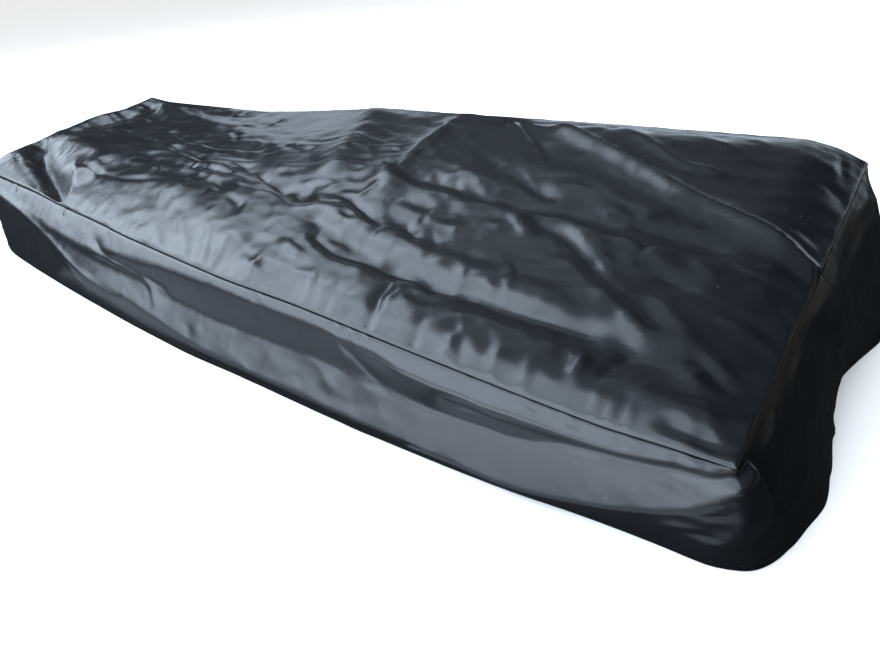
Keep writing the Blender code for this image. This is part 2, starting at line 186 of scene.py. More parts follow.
# The hem, and how far a band stands out from a straight fall at those heights.
Hem = namedtuple("Hem", "turn x y roll hollow belly")
HEMS = (
    Hem(0.00, -0.672, -0.219, 0.0085, 0.0090, 0.0090),
    Hem(0.05, -0.615, -0.2385, 0.0125, 0.0135, 0.0150),
    Hem(0.14, -0.500, -0.2485, 0.0165, 0.0175, 0.0190),
    Hem(0.26, -0.335, -0.2565, 0.0195, 0.0195, 0.0230),
    Hem(0.33, -0.235, -0.2600, 0.0205, 0.0180, 0.0260),
    Hem(0.42, -0.100, -0.2630, 0.0128, 0.0048, 0.0170),
    Hem(0.50, 0.006, -0.2635, 0.0082, -0.0025, 0.0115),
    Hem(0.60, 0.131, -0.2580, 0.006, -0.0042, 0.0112),
    Hem(0.72, 0.300, -0.2520, 0.0065, -0.003, 0.0115),
    Hem(0.80, 0.411, -0.2450, 0.0105, -0.0005, 0.0135),
    Hem(0.87, 0.512, -0.2355, 0.010, -0.002, 0.0145),
    Hem(0.93, 0.602, -0.2228, 0.0095, 0.000, 0.0175),
    Hem(0.965, 0.655, -0.2178, 0.0075, 0.003, 0.0165),
    Hem(0.985, 0.690, -0.2155, 0.006, 0.004, 0.016),
    Hem(1.00, 0.722, -0.2020, 0.001, 0.000, 0.0090),
    Hem(1.02, 0.737, -0.1780, 0.001, 0.000, 0.0105),
    Hem(1.032, 0.7405, -0.1675, 0.001, 0.000, 0.0095),
    Hem(1.045, 0.7440, -0.1570, 0.001, 0.001, 0.0020),
    Hem(1.07, 0.748, -0.1390, 0.003, 0.003, 0.004),
    Hem(1.15, 0.757, -0.0950, 0.005, 0.006, 0.005),
    Hem(1.25, 0.754, -0.0500, 0.006, 0.007, 0.006),
    Hem(1.40, 0.742, 0.0250, 0.008, 0.012, 0.009),
    Hem(1.53, 0.738, 0.1000, 0.014, 0.019, 0.009),
    Hem(1.63, 0.747, 0.1480, 0.011, 0.015, 0.010),
    Hem(1.78, 0.762, 0.2020, 0.009, 0.012, 0.008),
    Hem(1.90, 0.768, 0.2380, 0.010, 0.012, 0.008),
    Hem(1.975, 0.756, 0.2620, 0.011, 0.012, 0.008),
    Hem(2.02, 0.712, 0.2680, 0.007, 0.008, 0.006),
    Hem(2.08, 0.622, 0.2630, 0.005, 0.002, 0.008),
    Hem(2.20, 0.430, 0.2520, 0.006, 0.001, 0.009),
    Hem(2.40, 0.140, 0.2610, 0.007, 0.002, 0.008),
    Hem(2.60, -0.140, 0.2550, 0.006, 0.002, 0.009),
    Hem(2.80, -0.430, 0.2500, 0.006, 0.003, 0.008),
    Hem(2.94, -0.640, 0.2410, 0.005, 0.004, 0.006),
    Hem(2.99, -0.710, 0.2290, 0.003, 0.003, 0.004),
    Hem(3.03, -0.744, 0.2000, 0.003, 0.004, 0.004),
    Hem(3.20, -0.764, 0.1200, 0.004, 0.004, 0.006),
    Hem(3.50, -0.750, 0.0100, 0.006, 0.008, 0.008),
    Hem(3.80, -0.752, -0.1050, 0.004, 0.004, 0.004),
    Hem(3.95, -0.705, -0.1950, 0.003, 0.002, 0.000),
)

# Cells of each sheet, along and across
TOP_CELLS = (380, 110)
FRONT_CELLS = (620, 56)
BACK_CELLS = (420, 38)

# Creases of the top panel: a crest (height above 0) or a sharp valley along a path of places, with its reach
# to the left and to the right of the way that the path runs.
Crease = namedtuple("Crease", "path left right height")
TOP_CREASES = (
    # The long fold from the tented point, which is steep behind and gentle before
    Crease(
        ((0.203, -0.021), (0.333, -0.022), (0.457, -0.019), (0.512, -0.034), (0.6, -0.031)),
        0.007, 0.026, 0.004,
    ),
    # Ridge from the tented point to the back seam, and the knot of short creases at the point
    Crease(((0.188, 0.17), (0.192, 0.088), (0.201, 0.0)), 0.018, 0.012, 0.0035),
    Crease(((0.165, 0.01), (0.205, -0.01)), 0.008, 0.008, 0.003),
    Crease(((0.17, -0.03), (0.205, -0.02)), 0.006, 0.008, 0.003),
    Crease(((0.15, -0.062), (0.19, -0.06), (0.206, -0.026)), 0.01, 0.008, 0.003),
    # Valley beside the short trough, and the thin crest across the gap between the folds
    Crease(((0.345, 0.047), (0.38, 0.034), (0.44, 0.006)), 0.018, 0.01, -0.003),
    Crease(((0.386, -0.022), (0.412, -0.044), (0.448, -0.067)), 0.018, 0.009, 0.0035),
    Crease(((0.405, -0.026), (0.477, -0.048), (0.541, -0.094)), 0.016, 0.012, -0.0045),
    # The trough near the front seam, its branch, and the crests around it
    Crease(
        ((0.18, -0.118), (0.192, -0.146), (0.232, -0.158), (0.33, -0.156), (0.575, -0.155)),
        0.022, 0.012, -0.005,
    ),
    Crease(((0.33, -0.163), (0.347, -0.206)), 0.014, 0.01, -0.003),
    Crease(((0.425, -0.134), (0.45, -0.147)), 0.008, 0.006, 0.002),
    # The wedge of the pleat in the middle and the thin valleys that run on from it
    Crease(((-0.02, -0.058), (0.05, -0.076), (0.092, -0.087)), 0.022, 0.008, -0.007),
    Crease(((0.085, -0.087), (0.14, -0.092), (0.195, -0.08)), 0.008, 0.006, -0.0025),
    Crease(((0.172, -0.066), (0.226, -0.088), (0.27, -0.106)), 0.012, 0.008, -0.0045),
    Crease(((0.183, -0.097), (0.223, -0.103)), 0.01, 0.006, -0.003),
    Crease(((0.277, -0.084), (0.33, -0.113)), 0.012, 0.008, -0.0035),
    # Slanting folds of the right part
    Crease(((0.33, 0.18), (0.452, 0.118), (0.538, 0.067), (0.591, 0.041), (0.72, 0.0)), 0.012, 0.024, 0.0065),
    Crease(((0.265, 0.19), (0.331, 0.137), (0.402, 0.07)), 0.02, 0.012, -0.004),
    Crease(((0.416, 0.2), (0.502, 0.137), (0.541, 0.112), (0.6, 0.104)), 0.016, 0.02, 0.003),
    Crease(((0.52, -0.095), (0.575, -0.128), (0.603, -0.143)), 0.01, 0.026, 0.005),
    Crease(((0.58, -0.086), (0.608, -0.11), (0.64, -0.132)), 0.012, 0.022, 0.004),
    Crease(((0.57, -0.064), (0.62, -0.08)), 0.012, 0.01, -0.003),
    Crease(((0.59, -0.03), (0.63, -0.05)), 0.012, 0.018, 0.003),
    Crease(((0.548, -0.052), (0.556, -0.026)), 0.008, 0.01, -0.0025),
    Crease(((0.625, -0.14), (0.653, -0.155), (0.68, -0.17)), 0.012, 0.008, -0.0035),
    Crease(((0.64, -0.137), (0.668, -0.154), (0.686, -0.16)), 0.01, 0.014, 0.003),
    Crease(((0.636, -0.162), (0.662, -0.178)), 0.008, 0.01, 0.0025),
    Crease(((0.672, 0.215), (0.684, 0.15)), 0.008, 0.008, -0.002),
    # Beside the front seam, at the right
    Crease(((0.556, -0.172), (0.566, -0.214)), 0.012, 0.014, 0.0045),
    Crease(((0.58, -0.208), (0.586, -0.18), (0.6, -0.155)), 0.012, 0.02, -0.004),
    Crease(((0.56, -0.195), (0.624, -0.199), (0.663, -0.196), (0.692, -0.204)), 0.016, 0.012, 0.004),
    Crease(((0.622, -0.212), (0.655, -0.214), (0.696, -0.215)), 0.01, 0.007, -0.004),
    Crease(((0.586, -0.198), (0.594, -0.26)), 0.007, 0.007, 0.0018),
    Crease(((0.6, -0.2), (0.606, -0.26)), 0.007, 0.007, 0.0018),
    Crease(((0.614, -0.198), (0.622, -0.26)), 0.007, 0.007, 0.0018),
    Crease(((0.4, -0.195), (0.412, -0.26)), 0.01, 0.014, -0.0025),
    Crease(((0.488, -0.19), (0.5, -0.26)), 0.01, 0.014, 0.0022),
    Crease(((0.522, -0.195), (0.53, -0.26)), 0.008, 0.012, 0.002),
    # Beside the front seam, in the middle
    Crease(((0.11, -0.203), (0.2, -0.222)), 0.008, 0.018, 0.0035),
    Crease(((0.15, -0.164), (0.215, -0.183)), 0.01, 0.02, 0.003),
    Crease(((-0.13, -0.15), (-0.08, -0.192), (-0.01, -0.24)), 0.012, 0.024, 0.0022),
    Crease(((-0.06, -0.172), (-0.02, -0.19), (0.052, -0.24)), 0.012, 0.024, 0.0018),
    Crease(((0.03, -0.17), (0.049, -0.202), (0.09, -0.25)), 0.012, 0.022, 0.0016),
    Crease(((0.15, -0.176), (0.16, -0.26)), 0.016, 0.01, 0.002),
    Crease(((0.085, -0.185), (0.092, -0.26)), 0.008, 0.014, 0.0018),
    Crease(((0.441, -0.26), (0.446, -0.182)), 0.014, 0.02, 0.003),
    Crease(((0.33, -0.179), (0.344, -0.206), (0.35, -0.24)), 0.01, 0.016, -0.0035),
    Crease(((0.356, -0.168), (0.346, -0.204)), 0.01, 0.014, 0.0025),
    # Three soft folds that fan out from the front seam of the left part
    Crease(((-0.292, -0.25), (-0.32, -0.19), (-0.372, -0.13)), 0.026, 0.034, 0.0016),
    Crease(((-0.152, -0.25), (-0.205, -0.19), (-0.268, -0.145)), 0.022, 0.03, 0.0018),
    Crease(((-0.04, -0.255), (-0.082, -0.205), (-0.142, -0.165)), 0.022, 0.03, 0.0018),
    # The left part
    Crease(((-0.72, -0.03), (-0.64, -0.055), (-0.56, -0.082), (-0.48, -0.1)), 0.018, 0.045, 0.003),
    Crease(
        ((-0.69, -0.04), (-0.586, -0.074), (-0.444, -0.096), (-0.367, -0.119), (-0.3, -0.17)),
        0.022, 0.04, 0.004,
    ),
    Crease(((-0.7, -0.08), (-0.53, -0.15), (-0.42, -0.184), (-0.32, -0.215)), 0.022, 0.03, -0.01),
    Crease(((-0.64, -0.154), (-0.55, -0.181), (-0.42, -0.21)), 0.01, 0.01, -0.0022),
    Crease(((-0.42, -0.13), (-0.35, -0.172), (-0.312, -0.215)), 0.014, 0.02, 0.003),
    Crease(((-0.277, -0.235), (-0.262, -0.185)), 0.014, 0.018, 0.0014),
    Crease(((-0.216, -0.235), (-0.222, -0.178)), 0.014, 0.02, 0.0013),
    Crease(((-0.499, -0.08), (-0.365, -0.098)), 0.016, 0.01, -0.0035),
    Crease(((-0.6, -0.01), (-0.547, 0.015), (-0.5, 0.02)), 0.012, 0.016, 0.003),
    Crease(((-0.559, 0.016), (-0.41, -0.006), (-0.244, -0.018)), 0.014, 0.008, -0.0028),
    Crease(((-0.409, 0.044), (-0.308, 0.018), (-0.205, 0.008), (-0.078, 0.01)), 0.016, 0.01, -0.003),
    Crease(((-0.202, 0.105), (-0.208, 0.176)), 0.008, 0.01, 0.0022),
    Crease(((-0.665, 0.13), (-0.652, 0.182)), 0.012, 0.014, -0.006),
    Crease(((-0.221, -0.095), (-0.15, -0.125)), 0.01, 0.008, -0.003),
    Crease(((-0.151, -0.098), (-0.14, -0.066)), 0.008, 0.008, 0.002),
    Crease(((-0.06, -0.1), (-0.015, -0.125)), 0.01, 0.008, -0.0035),
    Crease(((-0.004, -0.125), (0.041, -0.137), (0.061, -0.163)), 0.01, 0.01, -0.003),
    Crease(((-0.4, -0.15), (-0.25, -0.15), (-0.12, -0.13)), 0.012, 0.01, -0.0025),
    Crease(((-0.33, -0.075), (-0.16, -0.086), (-0.04, -0.078)), 0.014, 0.01, -0.0025),
    Crease(((-0.613, 0.145), (-0.61, 0.186)), 0.01, 0.012, -0.0025),
    Crease(((-0.544, 0.15), (-0.54, 0.188)), 0.01, 0.012, -0.0025),
    Crease(((-0.467, 0.15), (-0.462, 0.19)), 0.01, 0.012, -0.0025),
    Crease(((-0.376, 0.155), (-0.372, 0.19)), 0.01, 0.012, -0.002),
)
CREST_ROUND = 0.14  # how round a crease's crest is, in shares of its reach

# Creases and facets of the front band, along a path of (metres along the seam, metres below it)
FRONT_CREASES = (
    # Two slanting crests that run down from the far left corner
    Crease(
        ((-0.66, 0.012), (-0.482, 0.029), (-0.404, 0.038), (-0.336, 0.046), (-0.225, 0.072), (-0.11, 0.09)),
        0.01, 0.008, 0.002,
    ),
    Crease(
        ((-0.6, 0.028), (-0.482, 0.047), (-0.404, 0.054), (-0.336, 0.075), (-0.225, 0.101)),
        0.014, 0.014, 0.0022,
    ),
    # The notch where the hollow begins, and the creases that cross it
    Crease(((-0.215, 0.018), (-0.164, 0.03), (-0.067, 0.044), (0.0, 0.056)), 0.008, 0.014, -0.0028),
    Crease(((-0.09, 0.032), (-0.05, 0.06), (-0.03, 0.085)), 0.008, 0.012, 0.0018),
    Crease(((0.3, 0.012), (0.318, 0.035), (0.33, 0.055)), 0.006, 0.012, 0.002),
    Crease(((0.315, 0.014), (0.352, 0.044), (0.385, 0.06)), 0.008, 0.012, -0.002),
    # The tight shadow line above the belly at the right
    Crease(
        ((0.44, 0.036), (0.488, 0.036), (0.54, 0.035), (0.575, 0.034), (0.62, 0.022), (0.69, 0.008)),
        0.01, 0.006, -0.0028,
    ),
    # Small creases below the ear
    Crease(((0.64, 0.08), (0.684, 0.06)), 0.008, 0.01, 0.002),
    Crease(((0.65, 0.085), (0.69, 0.068)), 0.008, 0.008, -0.002),
    Crease(((0.668, 0.104), (0.693, 0.063), (0.7, 0.036)), 0.016, 0.01, 0.004),
    Crease(((0.678, 0.052), (0.688, 0.038)), 0.006, 0.006, -0.0018),
)


def curve_through(stations, values):
    """A smooth function through the values at rising stations, which never overshoots them."""
    gaps = [b - a for a, b in zip(stations, stations[1:])]
    rates = [(b - a) / gap for a, b, gap in zip(values, values[1:], gaps)]
    slopes = [rates[0]]
    for i in range(1, len(rates)):
        before, after = rates[i - 1], rates[i]
        both = gaps[i - 1] + gaps[i]
        slope = 0.0
        if before * after > 0:
            slope = 3 * both / ((both + gaps[i]) / before + (both + gaps[i - 1]) / after)
        slopes.append(slope)
    slopes.append(rates[-1])

    def value(at):
        i = min(max(bisect_right(stations, at) - 1, 0), len(gaps) - 1)
        t = min(max((at - stations[i]) / gaps[i], 0.0), 1.0)
        rise = values[i + 1] - values[i]
        start, end = slopes[i] * gaps[i], slopes[i + 1] * gaps[i]
        return values[i] + start * t + (3 * rise - 2 * start - end) * t**2 + (start + end - 2 * rise) * t**3

    return value


def bent_line(stations, values, softness):
    """A function that runs straight between values at rising stations, and rounds its bends a little."""
    areas = [0.0]
    for i in range(len(stations) - 1):
        areas.append(areas[-1] + (values[i] + values[i + 1]) / 2 * (stations[i + 1] - stations[i]))

    def straight(at):
        i = min(max(bisect_right(stations, at) - 1, 0), len(stations) - 2)
        share = (at - stations[i]) / (stations[i + 1] - stations[i])
        return i, values[i] + (values[i + 1] - values[i]) * share

    def area(at):
        i, value = straight(at)
        return areas[i] + (values[i] + value) / 2 * (at - stations[i])

    def value(at):
        reach = min(softness, at - stations[0], stations[-1] - at)
        if reach < 1e-6:
            return straight(min(max(at, stations[0]), stations[-1]))[1]
        return (area(at + reach) - area(at - reach)) / (2 * reach)

    return value


def column(rows, key, name):
    """A smooth function through one named column of a table, over another one."""
    return curve_through([getattr(row, key) for row in rows], [getattr(row, name) for row in rows])


def around(rows, name):
    """The like for a column of the hem table, which closes on itself after four turns."""
    last, first, second = rows[-1], rows[0], rows[1]
    stations = [last.turn - TURNS] + [row.turn for row in rows] + [first.turn + TURNS, second.turn + TURNS]
    values = [getattr(row, name) for row in (last, *rows, first, second)]
    return curve_through(stations, values)


EDGE_OUT = [column((EDGE_START, *rows, EDGE_END), "along", "out") for rows in EDGES]
EDGE_UP = [column((EDGE_START, *rows, EDGE_END), "along", "up") for rows in EDGES]
CROWN_LINES = [column(CROWNS, "x", name) for name in ("front", "middle", "back")]
SLOPE_END = column(CROWNS, "x", "slope")
HEM_COLUMNS = {name: around(HEMS, name) for name in ("x", "y", "roll", "hollow", "belly")}
LEVEL_COLUMNS = {name: around(LEVELS, name) for name in ("roll", "hollow", "belly")}
SOFTNESS = around(LEVELS, "softness")


@cache
def edge_point(side, along):
    """A point of one edge of the top seam, on the outer face of the top panel."""
    start, end = CORNERS[side], CORNERS[(side + 1) % TURNS]
    run = end - start
    outward = Vector((run.y, -run.x, 0.0)).normalized()
    rise = Vector((0.0, 0.0, EDGE_UP[side](along)))
    return start.lerp(end, along) + outward * EDGE_OUT[side](along) + rise


def seam_point(turn):
    turn %= TURNS
    return edge_point(int(turn), turn - int(turn))


def smooth_step(value):
    value = min(max(value, 0.0), 1.0)
    return value * value * (3 - 2 * value)


def fold_height(fold, x, y):
    """How much one fold raises or lowers the top panel at a place."""
    run_x, run_y = fold.x2 - fold.x1, fold.y2 - fold.y1
    length = math.hypot(run_x, run_y)
    away_x, away_y = x - fold.x1, y - fold.y1
    along = (away_x * run_x + away_y * run_y) / length
    aside = (away_y * run_x - away_x * run_y) / length
    share = min(max(along / length, 0.0), 1.0)
    aside -= fold.bow * 4 * share * (1 - share)
    beyond = max(-along, along - length, 0.0)
    fade = smooth_step(1 - beyond / FOLD_END)
    return fold.height * fade * math.exp(-((aside / fold.width) ** 2))


def crown_height(x, across):
    """The crown of the top panel, from 0 at the front seam to 1 at the back one."""
    heights = [line(x) for line in CROWN_LINES]
    section = curve_through([0.0, SLOPE_END(x), MIDDLE_LINE, BACK_LINE, 1.0], [0.0, *heights, 0.0])
    return section(across)


def top_point(along, across):
    """A point of the top panel: a patch spanned by its four seams, with its crown and its folds."""
    front, back = edge_point(0, along), edge_point(2, 1 - along)
    right, left = edge_point(1, across), edge_point(3, 1 - across)
    front_left, front_right, back_right, back_left = CORNERS
    flat = front_left.lerp(front_right, along).lerp(back_left.lerp(back_right, along), across)
    point = front.lerp(back, across) + left.lerp(right, along) - flat
    from_seam = min(along, 1 - along) * LENGTH, min(across, 1 - across) * DEPTH
    inside = smooth_step(min(from_seam) / FOLD_END)
    folds = sum(fold_height(fold, point.x, point.y) for fold in FOLDS)
    point.z += crown_height(point.x, across) + inside * folds
    return point


@cache
def hem_point(turn):
    turn %= TURNS
    return Vector((HEM_COLUMNS["x"](turn), HEM_COLUMNS["y"](turn), HEM_HEIGHT))


def outward_at(turn):
    """The level direction that points away from the cover at a turn of its hem."""
    run = hem_point(turn + NEAR) - hem_point(turn - NEAR)
    return Vector((run.y, -run.x, 0.0)).normalized()


@cache
def band_section(turn):
    """The upright section of a band at a turn: its two ends, the outward way, and how far it stands out."""
    outward = outward_at(turn)
    top = seam_point(turn) - Vector((0.0, 0.0, SEAM_DROP)) - outward * SEAM_LIP
    levels = [column(turn % TURNS) for column in LEVEL_COLUMNS.values()]
    stands = [HEM_COLUMNS[name](turn % TURNS) for name in LEVEL_COLUMNS]
    profile = bent_line([0.0, *levels, 1.0], [0.0, *stands, 0.0], SOFTNESS(turn % TURNS))
    return top, hem_point(turn), outward, profile


# Where the seam pulls a sharp little gather into the front band, in metres along it: a valley and a crest
GATHERS = (-0.52, -0.319, -0.169, 0.174, 0.302, 0.322, 0.338, 0.460, 0.530, 0.566, 0.614, 0.657)
GATHER_SEED = 5
GATHER_FALL = (0.007, 0.015)
GATHER_LEAN = (-0.003, 0.009)
GATHER_DEPTH = (0.0008, 0.0022)
VALLEY_REACHES = (0.008, 0.006)
CREST_REACHES = (0.006, 0.009)
CREST_ASIDE = 0.009
CREST_FALL = 0.8  # of the valley's

TILE = 0.04  # creases are looked up by square tiles of this size
CREASE_END = 0.035  # a crease fades in and out over this length,
SHORT_END = 0.4  # or over this share of its own, if that is less

# Small crisp creases, strewn over a stretch of the cloth by a seeded draw: how many, their way (radians from
# the x axis) and how far it strays, their lengths, how far they reach, and their heights
Strewn = namedtuple("Strewn", "seed left right low high count way stray lengths reaches heights")
TOP_STREWN = (
    Strewn(11, -0.68, 0.04, -0.1, 0.06, 60, -0.15, 0.4, (0.04, 0.13), (0.008, 0.018), (0.0008, 0.0024)),
    Strewn(16, -0.56, 0.04, -0.2, -0.08, 26, 2.2, 0.6, (0.03, 0.08), (0.012, 0.022), (0.0005, 0.0014)),
    Strewn(15, -0.62, 0.08, 0.06, 0.18, 26, -0.3, 0.4, (0.04, 0.12), (0.008, 0.018), (0.0004, 0.0011)),
    Strewn(12, 0.08, 0.3, -0.19, 0.08, 34, -0.5, 0.9, (0.025, 0.07), (0.006, 0.014), (0.0005, 0.0014)),
    Strewn(13, 0.26, 0.68, -0.19, 0.02, 60, -0.45, 0.45, (0.04, 0.12), (0.008, 0.02), (0.0006, 0.0016)),
    Strewn(14, 0.1, 0.68, 0.00, 0.2, 46, -0.5, 0.45, (0.04, 0.13), (0.01, 0.024), (0.0006, 0.0016)),
)
FRONT_STREWN = (
    Strewn(21, -0.64, 0.68, 0.02, 0.12, 30, 0.15, 0.4, (0.03, 0.1), (0.01, 0.018), (0.0003, 0.0008)),
    Strewn(22, 0.76, 1.3, 0.03, 0.15, 22, 0.9, 0.7, (0.03, 0.09), (0.012, 0.022), (0.0006, 0.0016)),
    Strewn(23, -1.0, -0.7, 0.02, 0.14, 14, 0.9, 0.7, (0.02, 0.08), (0.008, 0.018), (0.0008, 0.0022)),
)
BACK_STREWN = (
    Strewn(31, 1.2, 2.98, 0.02, 0.18, 70, 1.1, 0.7, (0.03, 0.1), (0.01, 0.022), (0.0008, 0.0024)),
)
CREST_SHARE = 0.6  # of the strewn creases stand up, the others dip
STREWN_BEND = 0.5  # radians by which one bends at most, half way
NARROW_SIDE = (0.5, 1.0)  # its reach to the left, as a share of that to the right

# Small unevenness of the cloth: places are scaled by these, along and across, and heights are metres
Crumple = namedtuple("Crumple", "along across seed height")
SLACK = Crumple(7.0, 13.0, 3.0, 0.0022)
LINES = Crumple(14.0, 30.0, 11.0, 0.0016)
WAVER = Crumple(6.0, 6.0, 40.0, 0.02)  # how far the lines stray from their way
DIMPLES = Crumple(45.0, 70.0, 23.0, 0.0008)
BAND_PLACE = 3.0  # metres down the noise, so that a band doesn't repeat the top panel

# Where the cloth lies calm: a middle, how far that reaches along and across, and the share of unevenness left
Calm = namedtuple("Calm", "x y along across share")
CALMS = (
    Calm(-0.12, 0.120, 0.22, 0.075, 0.35),
    Calm(0.50, 0.140, 0.22, 0.090, 0.50),
)
CALM_END = 1.5  # a calm place has faded out at this many times its reach
BAND_SLACKNESS = 0.9  # the share of its unevenness that a band keeps,
FRONT_SLACKNESS = 0.35  # and along the front, where the cloth is drawn smooth
FRONT_ENDS = (0.10, 0.06)  # turns over which one passes into the other, at the far left and the near right

# Puckers along a sewn seam, and the way the edge of the top panel turns down into it
PUCKER_HEIGHT = 0.0009
PUCKER_REACH = 0.014
PUCKERS_PER_METRE = 42.0
FINE_PUCKERS = Crumple(2.3, 1.0, 5.0, 0.6)  # closer and lower ones on top of these, as shares of them
SIDE_PUCKERS, END_PUCKERS, BAND_PUCKERS = 1.0, 4.0, 8.0  # seeds
EDGE_TURN = 0.0040
EDGE_DROP = 0.0022
ROLL_OUT = 0.0035  # below the seam, over this length,
ROLL_IN = 0.0016  # a band comes out of the groove by this much

# How far from a seam the small relief has its full height, on the top panel and on a band
UNEVEN_FROM = 0.020
TOP_CREASES_FROM, TOP_PUCKERS_FROM = 0.006, 0.004
BAND_CREASES_FROM, BAND_PUCKERS_FROM = 0.004, 0.003
UNEVEN_AT_HEM = 0.3  # at the hem, unevenness still stands this far up its rise

# The turned hem and its row of stitches
HEM_WIDTH = 0.010
HEM_RISE = 0.0006
HEM_STEP = 0.0015
STITCH_LINE = 0.0080  # above the edge of the cloth
STITCH_PITCH = 0.0045
STITCH_LENGTH = 0.0033
STITCH_THICKNESS = 0.0006
STITCH_INSET = 0.01  # turns from an upright seam to the first stitch
STITCH_AHEAD, STITCH_ABOVE = 0.001, 0.01  # short steps along and up a band, to read a stitch's way from
GROOVE_WIDTH = 0.0009  # of the groove that the stitches draw in,
GROOVE_DEPTH = 0.5  # and its share of the hem's rise

# Closer rows of cells beside a seam and beside the hem, in metres from it
SEAM_ROWS = (0.0006, 0.0013, 0.0021, 0.0031, 0.0044, 0.0062)
HEM_ROWS = (0.0030, 0.0055, 0.0070, 0.0078, 0.0085, 0.0093, 0.0102, 0.0112, 0.0130)
ROWED_FALL = 0.130  # the fall of a band over which its rows are spaced


def shares_along(length, cells, first_rows, last_rows):
    """Shares of a length, from 0 to 1: even ones between closer rows at its two ends."""
    first, last = first_rows[-1] / length, 1 - last_rows[-1] / length
    start = [0.0, *(place / length for place in first_rows[:-1])]
    even = [first + (last - first) * i / cells for i in range(cells + 1)]
    end = [*(1 - place / length for place in reversed(last_rows[:-1])), 1.0]
    return start + even + end


def segments_of(crease):
    """The straight runs of a crease's path, each with its start, way, length and how far along it starts."""
    runs, gone = [], 0.0
    for start, end in zip(crease.path, crease.path[1:]):
        run = Vector(end) - Vector(start)
        runs.append((Vector(start), run.normalized(), run.length, gone))
        gone += run.length
    return runs, gone


def strewn(kinds):
    """The small creases of some kinds, drawn from each kind's own seed."""
    for kind in kinds:
        draw = Random(kind.seed)
        for _ in range(kind.count):
            start = Vector((draw.uniform(kind.left, kind.right), draw.uniform(kind.low, kind.high)))
            way = kind.way + draw.uniform(-kind.stray, kind.stray)
            length = draw.uniform(*kind.lengths)
            middle = start + Vector((math.cos(way), math.sin(way))) * length / 2
            way += draw.uniform(-STREWN_BEND, STREWN_BEND)
            end = middle + Vector((math.cos(way), math.sin(way))) * length / 2
            height = draw.uniform(*kind.heights) * (1 if draw.random() < CREST_SHARE else -1)
            reach = draw.uniform(*kind.reaches)
            narrow = reach * draw.uniform(*NARROW_SIDE)
            yield Crease((tuple(start), tuple(middle), tuple(end)), narrow, reach, height)


def prepared(creases):
    """Each crease with its runs and the box outside which it does nothing."""
    rows = []
    for crease in creases:
        runs, whole = segments_of(crease)
        reach = max(crease.left, crease.right) * (1 + CREST_ROUND)
        xs, ys = [place[0] for place in crease.path], [place[1] for place in crease.path]
        box = (min(xs) - reach, max(xs) + reach, min(ys) - reach, max(ys) + reach)
        rows.append((crease, runs, whole, box))
    return rows


def crease_height(row, x, y):
    """How much one crease raises or lowers the cloth at a place."""
    crease, runs, whole, (left, right, low, high) = row
    if not (left < x < right and low < y < high):
        return 0.0
    nearest = (math.inf, 0.0, 0.0)
    for start, way, length, gone in runs:
        away = Vector((x - start.x, y - start.y))
        along = min(max(away.dot(way), 0.0), length)
        apart = (away - way * along).length
        if apart < nearest[0]:
            side = way.x * away.y - way.y * away.x
            nearest = (apart, side, gone + along)
    apart, side, along = nearest
    reach = crease.left if side > 0 else crease.right
    rounded = math.hypot(apart / reach, CREST_ROUND) - CREST_ROUND
    share = max(0.0, 1 - rounded)
    end = min(CREASE_END, SHORT_END * whole)
    fade = smooth_step(along / end) * smooth_step((whole - along) / end)
    return crease.height * share * share * fade


def by_tile(rows):
    """The rows that reach into each square tile of the cloth."""
    tiles = defaultdict(list)
    for row in rows:
        left, right, low, high = row[3]
        for i in range(math.floor(left / TILE), math.floor(right / TILE) + 1):
            for j in range(math.floor(low / TILE), math.floor(high / TILE) + 1):
                tiles[i, j].append(row)
    return tiles


def creases_at(tiles, x, y):
    """How much all creases together raise or lower the cloth at a place."""
    tile = math.floor(x / TILE), math.floor(y / TILE)
    return sum(crease_height(row, x, y) for row in tiles.get(tile, ()))


def wave(kind, along, across):
    return noise.noise(Vector((along * kind.along, across * kind.across, kind.seed)))


def unevenness(along, across):
    """Slack, faint crossing lines and dimples of the cloth."""
    slack = SLACK.height * wave(SLACK, along, across)
    stray = WAVER.height * wave(WAVER, along, across)
    line = LINES.height * (1 - 2 * abs(wave(LINES, along + stray, across - stray)))
    return slack + line + DIMPLES.height * wave(DIMPLES, along, across)


def calmness(x, y):
    """The share of its unevenness that the top panel keeps at a place."""
    share = 1.0
    for calm in CALMS:
        apart = math.hypot((x - calm.x) / calm.along, (y - calm.y) / calm.across)
        share *= 1 - (1 - calm.share) * smooth_step(CALM_END - apart)
    return share


def pucker(along, from_seam, seed):
    """Small gathers of the cloth beside a seam."""
    along *= PUCKERS_PER_METRE
    height = noise.noise(Vector((along, seed, 0.0))) + FINE_PUCKERS.height * wave(FINE_PUCKERS, along, seed)
    return PUCKER_HEIGHT * height * math.exp(-from_seam / PUCKER_REACH)


def gathers():
    """A valley and a crest beside it for each gather of the front band, no two alike."""
    draw = Random(GATHER_SEED)
    for place in GATHERS:
        fall, lean, depth = [draw.uniform(*span) for span in (GATHER_FALL, GATHER_LEAN, GATHER_DEPTH)]
        yield Crease(((place, 0.0), (place + lean, fall)), *VALLEY_REACHES, -depth)
        aside = place + CREST_ASIDE
        yield Crease(((aside, 0.0), (aside + lean, fall * CREST_FALL)), *CREST_REACHES, depth)


TOP_TILES = by_tile(prepared([*TOP_CREASES, *strewn(TOP_STREWN)]))
BAND_TILES = by_tile(prepared([*FRONT_CREASES, *gathers(), *strewn(FRONT_STREWN), *strewn(BACK_STREWN)]))
SEAM_LENGTHS = [(CORNERS[(side + 1) % TURNS] - CORNERS[side]).length for side in range(TURNS)]


